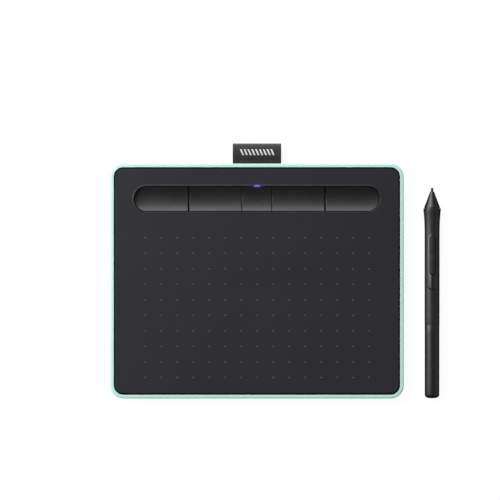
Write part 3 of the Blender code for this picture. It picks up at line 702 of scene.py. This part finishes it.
def build_loop():
    path = loop_path()
    lengths = [0.0]
    for a, b in zip(path[:-1], path[1:]):
        lengths.append(lengths[-1] + (b - a).length)
    normals = []
    for i in range(len(path)):
        ahead = path[min(i + 1, len(path) - 1)] - path[max(i - 1, 0)]
        ahead.normalize()
        normals.append(Vector((-ahead.y, ahead.x)))
    # Positions across the ribbon, close together at the woven edges.
    half = LOOP_HALF
    xs = [-half, -half + 0.05, -half + 0.2, -half + 0.5, -half + 0.9, -half + 1.4]
    xs += [-half + 1.4 + (2 * half - 2.8) * i / 40 for i in range(1, 40)]
    xs += [half - 1.4, half - 0.9, half - 0.5, half - 0.2, half - 0.05, half]
    bm = bmesh.new()
    along = bm.verts.layers.float.new("ribbon_along")
    across = bm.verts.layers.float.new("ribbon_across")
    sides = []
    for sign in (1, -1):
        sheet = []
        for i, point in enumerate(path):
            line = []
            for x in xs:
                edge = half - abs(x)
                thick = RIBBON / 2
                if edge < 0.2:
                    thick *= math.sqrt(max(0.0, 1 - (1 - edge / 0.2) ** 2)) * 0.9 + 0.1
                elif 0.45 < edge < 1.3:
                    thick *= 1.12
                sway = 0.10 * math.sin(x * 0.33 + 0.6) * math.sin(math.pi * min(1.0, max(0.0, (point.x - 80) / 13)))
                p = point + normals[i] * (sign * thick)
                vert = bm.verts.new((x, p.x, LOOP_Z + p.y + sway * 0.6))
                vert[along] = lengths[i]
                vert[across] = x
                line.append(vert)
            sheet.append(line)
        sides.append(sheet)
    top, bottom = sides
    for sheet in sides:
        for a, b in zip(sheet[:-1], sheet[1:]):
            for k in range(len(xs) - 1):
                bm.faces.new((a[k], a[k + 1], b[k + 1], b[k]))
    last = len(xs) - 1
    for i in range(len(path) - 1):
        bm.faces.new((top[i][0], top[i + 1][0], bottom[i + 1][0], bottom[i][0]))
        bm.faces.new((top[i][last], bottom[i][last], bottom[i + 1][last], top[i + 1][last]))
    for k in range(last):
        bm.faces.new((top[0][k], bottom[0][k], bottom[0][k + 1], top[0][k + 1]))
        bm.faces.new((top[-1][k], top[-1][k + 1], bottom[-1][k + 1], bottom[-1][k]))
    loop = solid_from("ribbon_loop", bm)
    dress(loop, fabric_finish(), "tablet", "loop_fabric", "pen_loop", sharp=70)


# ---------------------------------------------------------------- pen
ROCKER_HALF = 1.5


def build_pen():
    nib_tip = [(0.0, 0.08), (0.03, 0.25), (0.1, 0.42), (0.22, 0.58), (0.4, 0.71), (0.65, 0.8), (23.6, 0.8),
               (23.7, 0.7)]
    nib = solid_from("pen_nib_rod", turned(nib_tip, 40), PEN)
    dress(nib, nib_plastic, "nib", "nib_plastic", "nib", sharp=40)

    cone_out = [(2.5, 1.12), (2.54, 1.22), (2.66, 1.32)]
    cone = spline(((2.66, 1.32), (3.3, 1.64), (4.7, 2.16), (6.0, 2.62), (7.4, 3.13), (8.75, 3.64), (10.1, 4.15),
                   (11.5, 4.68), (12.7, 5.14), (13.45, 5.42)), 4)
    cone_out += [(p.x, p.y) for p in cone[1:]]
    cone_out += [(13.62, 5.46), (13.71, 5.43), (13.75, 5.35), (13.76, 5.1), (14.04, 5.1)]
    cone_in = [(14.04, 4.5), (13.75, 4.3), (9.5, 2.6), (8.0, 1.1), (2.5, 1.1)]
    nose = solid_from("pen_nose_cone", turned(cone_out + cone_in, 96, closed=True), PEN)
    dress(nose, nose_plastic, "pen", "gloss_black", "nose_cone", sharp=35)

    sleeve = [(14.05, 5.55), (14.07, 5.72), (14.14, 5.84), (14.3, 5.91), (14.6, 5.93), (15.15, 5.93),
              (15.2, 5.88), (15.3, 5.86), (15.4, 5.91)]
    flare = spline(((15.4, 5.91), (16.3, 5.85), (17.6, 5.72), (19.0, 5.59), (21.5, 5.40), (23.8, 5.27),
                    (27.9, 5.15), (32.0, 5.12)), 6)
    sleeve += [(p.x, p.y) for p in flare[1:]]
    for k in range(1, 13):
        sleeve.append((32.0 + (93.0 - 32.0) * k / 12, 5.12 - 0.04 * k / 12))
    sleeve += [(93.13, 5.06), (93.2, 4.99)]
    bore = [(93.2, 4.1), (16.0, 4.1), (14.05, 4.4)]
    grip = solid_from("pen_grip_sleeve", turned(sleeve + bore, 96, closed=True), PEN)
    pocket = [pill_y(2.12, -59.5, -32.4, z) for z in (3.0, 7.0)]
    carve(grip, "DIFFERENCE", loft(pocket), PEN)
    dress(grip, grip_rubber, "pen", "grip_rubber", "grip_sleeve", sharp=35)

    # Glossy bezel that frames the side switch and runs on behind it as a ridge.
    ridge = ((3.27, 3.2), (3.27, 4.2), (3.25, 4.35), (3.19, 4.48), (3.1, 4.57), (3.0, 4.63), (2.0, 5.16), (1.5, 5.42),
             (1.15, 5.57), (0.85, 5.66), (0.55, 5.73), (0.3, 5.76))
    bezel = solid_from("pen_switch_bezel", loft([
        pill_y(half, -70.0 + 0.2 * (3.27 - half), -30.9 - 0.2 * (3.27 - half), z) for half, z in ridge]), PEN)
    carve(bezel, "DIFFERENCE", loft(pocket), PEN)
    dress(bezel, bezel_plastic, "pen", "gloss_black", sharp=35)

    build_rocker()

    barrel = [(93.24, 4.8), (93.26, 4.93), (93.32, 5.0), (93.45, 5.03)]
    for k in range(1, 9):
        barrel.append((93.45 + (140.9 - 93.45) * k / 8, 5.03 - 0.06 * k / 8))
    for k in range(1, 13):
        a = math.pi / 2 * k / 12
        barrel.append((140.9 + 2.5 * math.sin(a), 2.47 + 2.5 * math.cos(a)))
    inside = [(143.0, 2.44), (141.5, 2.6), (140.5, 4.1), (93.24, 4.1)]
    rear = solid_from("pen_rear_barrel", turned(barrel + inside, 96, closed=True), PEN)
    dress(rear, barrel_plastic, "rear_barrel", "satin_black", "rear_barrel", sharp=35)

    cap = [(139.7, 3.4), (140.3, 3.4), (140.35, 2.4), (143.05, 2.4), (143.3, 2.34), (143.46, 2.15), (143.54, 1.6),
           (143.55, 0.3)]
    tail = solid_from("pen_tail_cap", turned(cap, 64), PEN)
    dress(tail, cap_plastic, "rear_barrel", "gloss_black", "tail_cap", sharp=35)


def build_rocker():
    """Side switch: two soft pads with a dip between them."""
    low = -59.1
    high = -32.9
    top = 6.2
    count = 70
    rows = []
    for i in range(count + 1):
        t = i / count
        y = low + (high - low) * t
        end = min(y - low, high - y)
        half = ROCKER_HALF
        if end < ROCKER_HALF:
            half = math.sqrt(max(ROCKER_HALF ** 2 - (ROCKER_HALF - end) ** 2, 0.0))
        rows.append((y, max(half, 0.06), end))
    bm = bmesh.new()
    grid = []
    shares = [-1.0, -0.985, -0.95, -0.88, -0.78, -0.65, -0.5, -0.25, 0.0, 0.25, 0.5, 0.65, 0.78, 0.88, 0.95, 0.985, 1.0]
    for y, half, end in rows:
        line = []
        dip = 0.24 * math.exp(-((y + SWITCH_AT) / 2.3) ** 2)
        for share in shares:
            x = half * share
            inward = min(end, half - abs(x))
            crown = 0.16 * (1 - share * share)
            z = top - 0.16 + crown - dip - round_drop(inward, 0.35)
            line.append(bm.verts.new((x, y, z)))
        grid.append(line)
    for a, b in zip(grid[:-1], grid[1:]):
        for i in range(len(shares) - 1):
            bm.faces.new((a[i], a[i + 1], b[i + 1], b[i]))
    rim = [line[0] for line in grid]
    rim += grid[-1][1:]
    rim += [line[-1] for line in reversed(grid[:-1])]
    rim += list(reversed(grid[0][1:-1]))
    foot = [bm.verts.new((v.co.x, v.co.y, 3.95)) for v in rim]
    total = len(rim)
    for i in range(total):
        j = (i + 1) % total
        bm.faces.new((rim[i], rim[j], foot[j], foot[i]))
    bm.faces.new(list(reversed(foot)))
    rocker = solid_from("pen_side_rocker", bm, PEN)
    dress(rocker, rocker_plastic, "side_switch", "gloss_black", "side_switch", sharp=50)


# ---------------------------------------------------------------- CAD pieces that keep their shape
def inner_finishes():
    board = Finish("board_mask", (0.004, 0.014, 0.008), 0.38)
    lines = board.node("ShaderNodeTexBrick", {"Vector": board.coords, "Scale": 260.0, "Mortar Size": 0.03,
                                              "Color1": (0.004, 0.014, 0.008, 1), "Color2": (0.005, 0.017, 0.010, 1),
                                              "Mortar": (0.012, 0.035, 0.02, 1)})
    board.paint(lines.outputs["Color"])
    board.bump(lines.outputs["Fac"], 0.00003, 0.4)
    board.roughen(180.0, 0.3, 0.45)

    steel = Finish("sheet_steel_brushed", (0.62, 0.63, 0.65), 0.32, metallic=1.0)
    steel.vary(60.0, 0.06)
    steel.roughen(900.0, 0.24, 0.42, 2.0, (1.0, 0.05, 1.0))
    steel.bump(steel.noise(1500.0, 2.0, 0.5, (1.0, 0.04, 1.0)), 0.000006, 0.6)

    screw = Finish("screw_zinc", (0.58, 0.59, 0.61), 0.3, metallic=1.0)
    screw.vary(700.0, 0.12)
    screw.roughen(1600.0, 0.24, 0.42)
    screw.bump(screw.noise(3000.0), 0.000005, 0.5)

    copper = Finish("coil_copper", (0.72, 0.30, 0.13), 0.3, metallic=1.0)
    turns = copper.node("ShaderNodeTexWave", {"Vector": copper.coords, "Scale": 900.0, "Distortion": 0.2},
                        bands_direction="Y")
    copper.bump(turns.outputs["Fac"], 0.00006, 0.9)
    copper.vary(500.0, 0.12)

    foil = Finish("battery_foil", (0.60, 0.61, 0.63), 0.34, metallic=0.75)
    foil.vary(40.0, 0.06)
    foil.bump(foil.noise(420.0, 4.0), 0.00004, 0.6)
    foil.roughen(120.0, 0.26, 0.44)

    flex = Finish("flex_amber", (0.48, 0.20, 0.03), 0.32)
    tracks = flex.node("ShaderNodeTexWave", {"Vector": flex.coords, "Scale": 320.0}, bands_direction="X")
    flex.paint(flex.mix(tracks.outputs["Fac"], (0.42, 0.17, 0.03), (0.62, 0.33, 0.08)))
    flex.bump(tracks.outputs["Fac"], 0.00002, 0.5)

    lens = Finish("status_lens", (0.10, 0.12, 0.25), 0.3)
    lens.set("Emission Color", (0.34, 0.45, 1.0, 1.0))
    glow = lens.remap(lens.noise(900.0, 2.0), 0.3, 0.7, 0.27, 0.37)
    lens.tree.links.new(glow, lens.shader.inputs["Emission Strength"])
    lens.bump(lens.noise(2500.0), 0.000004, 0.4)

    red = moulded("lead_red_pvc", (0.45, 0.02, 0.02), 0.4, grain=1800.0, drift=0.1)
    black = moulded("lead_black_pvc", (0.015, 0.015, 0.015), 0.4, grain=1800.0, drift=0.1)
    inner = moulded("inner_moulding", (0.035, 0.035, 0.038), 0.5, grain=1500.0, depth=0.00002, drift=0.1)
    chip = moulded("chip_resin_black", (0.012, 0.012, 0.013), 0.45, grain=2500.0, depth=0.00001, drift=0.15)
    foam = moulded("gasket_foam", (0.006, 0.006, 0.006), 0.92, grain=900.0, depth=0.00008, drift=0.2, specular=0.1)
    ferrite = moulded("ferrite_grey", (0.04, 0.04, 0.045), 0.55, grain=1200.0, depth=0.00002, drift=0.2)
    return {
        "board_mask": board, "sheet_steel": steel, "screw_steel": screw, "copper_wire": copper,
        "battery_wrap": foil, "flex_film": flex, "lens_clear": lens, "lead_red": red, "lead_black": black,
        "inner_plastic": inner, "chip_resin": chip, "foam_black": foam, "ferrite": ferrite,
        "nib_plastic": nib_plastic,
    }


def dress_inner_nodes():
    finishes = inner_finishes()
    for entry in frame["record"]["subparts"]:
        obj = frame["nodes"][entry["node"]]
        if obj.hide_render:
            continue
        finish = finishes[entry["material_slot"]]
        if not obj.material_slots:
            obj.data.materials.append(None)
        for slot in obj.material_slots:
            slot.link = "OBJECT"
            slot.material = finish.mat


# ---------------------------------------------------------------- studio
def build_floor():
    bm = bmesh.new()
    size = 6000.0
    for x, y in ((-size, -size), (size, -size), (size, size), (-size, size)):
        bm.verts.new((x, y, -0.02))
    bm.faces.new(bm.verts)
    floor = solid_from("studio_floor", bm)
    finish = Finish("studio_floor_white", (0.12, 0.12, 0.12), 0.9, specular=0.1)
    finish.bump(finish.noise(300.0), 0.00002, 0.2)
    # Seen directly it is plain white; to everything else it is a dim grey table.
    shown = finish.node("ShaderNodeEmission", {"Color": (1, 1, 1, 1), "Strength": 0.93}).outputs[0]
    white = finish.node("ShaderNodeAddShader", {0: finish.shader.outputs[0], 1: shown}).outputs[0]
    ray = finish.node("ShaderNodeLightPath").outputs
    shade = finish.mix(ray["Is Glossy Ray"], (0.5, 0.5, 0.5), (0.12, 0.12, 0.12))
    dim = finish.node("ShaderNodeBsdfDiffuse", {"Color": shade}).outputs[0]
    table = finish.node("ShaderNodeMixShader", {0: ray["Is Camera Ray"], 1: dim, 2: white}).outputs[0]
    # The floor is clear when the camera is below it, so the underside can be seen.
    eye = finish.node("ShaderNodeVectorTransform", {"Vector": (0, 0, 0)}, vector_type="POINT",
                      convert_from="CAMERA", convert_to="WORLD").outputs[0]
    height = finish.node("ShaderNodeSeparateXYZ", {"Vector": eye}).outputs["Z"]
    below = finish.math("LESS_THAN", height, 0.0)
    clear = finish.node("ShaderNodeBsdfTransparent").outputs[0]
    mixed = finish.node("ShaderNodeMixShader", {0: below, 1: table, 2: clear}).outputs[0]
    out = finish.tree.nodes["Material Output"]
    finish.tree.links.new(mixed, out.inputs["Surface"])
    floor.data.materials.append(finish.mat)


def build_world():
    """Soft sky that is brightest low behind the left rear corner and dark opposite."""
    world = bpy.data.worlds.new("studio")
    bpy.context.scene.world = world
    world.use_nodes = True
    tree = world.node_tree
    tree.nodes.clear()

    def node(kind, **inputs):
        made = tree.nodes.new(kind)
        for key, value in inputs.items():
            key = int(key[1:]) if key[1:].isdigit() else key
            if isinstance(value, bpy.types.NodeSocket):
                tree.links.new(value, made.inputs[key])
            else:
                made.inputs[key].default_value = value
        return made

    def math_node(operation, a, b=0.0):
        made = node("ShaderNodeMath", i0=a, i1=b)
        made.operation = operation
        return made.outputs[0]

    way = node("ShaderNodeTexCoord").outputs["Generated"]
    towards = node("ShaderNodeVectorMath", i0=way, i1=Vector(SKY_BRIGHT).normalized())
    towards.operation = "DOT_PRODUCT"
    rise = math_node("MAXIMUM", math_node("ADD", towards.outputs["Value"], SKY_OFFSET), 0.0)
    upper = math_node("ADD", math_node("MULTIPLY", math_node("POWER", rise, SKY_POWER), SKY_GAIN), SKY_DARK)
    upper = math_node("MINIMUM", upper, SKY_MOST)
    parts = node("ShaderNodeSeparateXYZ", Vector=way)
    east = math_node("POWER", math_node("MAXIMUM", parts.outputs["X"], 0.0), 3.0)
    upper = math_node("ADD", upper, math_node("MULTIPLY", east, SKY_EAST))
    under = math_node("LESS_THAN", parts.outputs["Z"], 0.0)
    level = node("ShaderNodeMix", i0=under, i2=upper, i3=SKY_UNDER).outputs[0]
    soft = node("ShaderNodeBackground", Strength=level).outputs[0]
    plain = node("ShaderNodeBackground", Strength=1.0).outputs[0]
    seen = node("ShaderNodeLightPath").outputs["Is Camera Ray"]
    both = node("ShaderNodeMixShader", i0=seen, i1=soft, i2=plain).outputs[0]
    node("ShaderNodeOutputWorld", Surface=both)


SKY_BRIGHT = (-0.62, 0.72, 0.30)
SKY_OFFSET = 0.3
SKY_POWER = 5.0
SKY_GAIN = 1.3
SKY_DARK = 0.085
SKY_MOST = 4.7
SKY_EAST = 0.75
SKY_UNDER = 1.0


def area_light(name, place, target, size_x, size_y, power):
    light = bpy.data.lights.new(name, "AREA")
    light.shape = "RECTANGLE"
    light.size = size_x
    light.size_y = size_y
    light.energy = power
    obj = bpy.data.objects.new(name, light)
    bpy.context.scene.collection.objects.link(obj)
    obj.visible_camera = False
    obj.location = place
    obj.rotation_mode = "QUATERNION"
    obj.rotation_quaternion = (Vector(target) - Vector(place)).to_track_quat("-Z", "Y")


def build_camera():
    """Long lens straight above, so the tablet shows no convergence."""
    camera = bpy.data.cameras.new("studio_camera")
    camera.lens = 200.0
    camera.sensor_width = 36.0
    obj = bpy.data.objects.new("studio_camera", camera)
    bpy.context.scene.collection.objects.link(obj)
    view_width = 0.3408
    distance = view_width / 2 / (camera.sensor_width / 2 / camera.lens)
    obj.location = (-0.00474, 0.02113, distance + 0.007)
    camera.clip_start = 0.01
    camera.clip_end = 50.0
    bpy.context.scene.camera = obj


build_shell()
build_feet()
build_cover()
for number in (1, 2, 3, 4):
    build_key("key_%d" % number, "express_key_%d" % number)
build_key("power_button", "power_key")
build_power_pip()
build_loop()
build_pen()
dress_inner_nodes()
build_floor()
build_world()
area_light("left_softbox", (-0.62, 0.12, 0.43), (0.0, 0.0, 0.0), 0.32, 0.7, 3.1)
area_light("rear_softbox", (-0.15, 0.80, 0.50), (0.0, 0.0, 0.0), 0.8, 0.45, 2.9)
build_camera()
bpy.context.scene.view_settings.view_transform = "Standard"
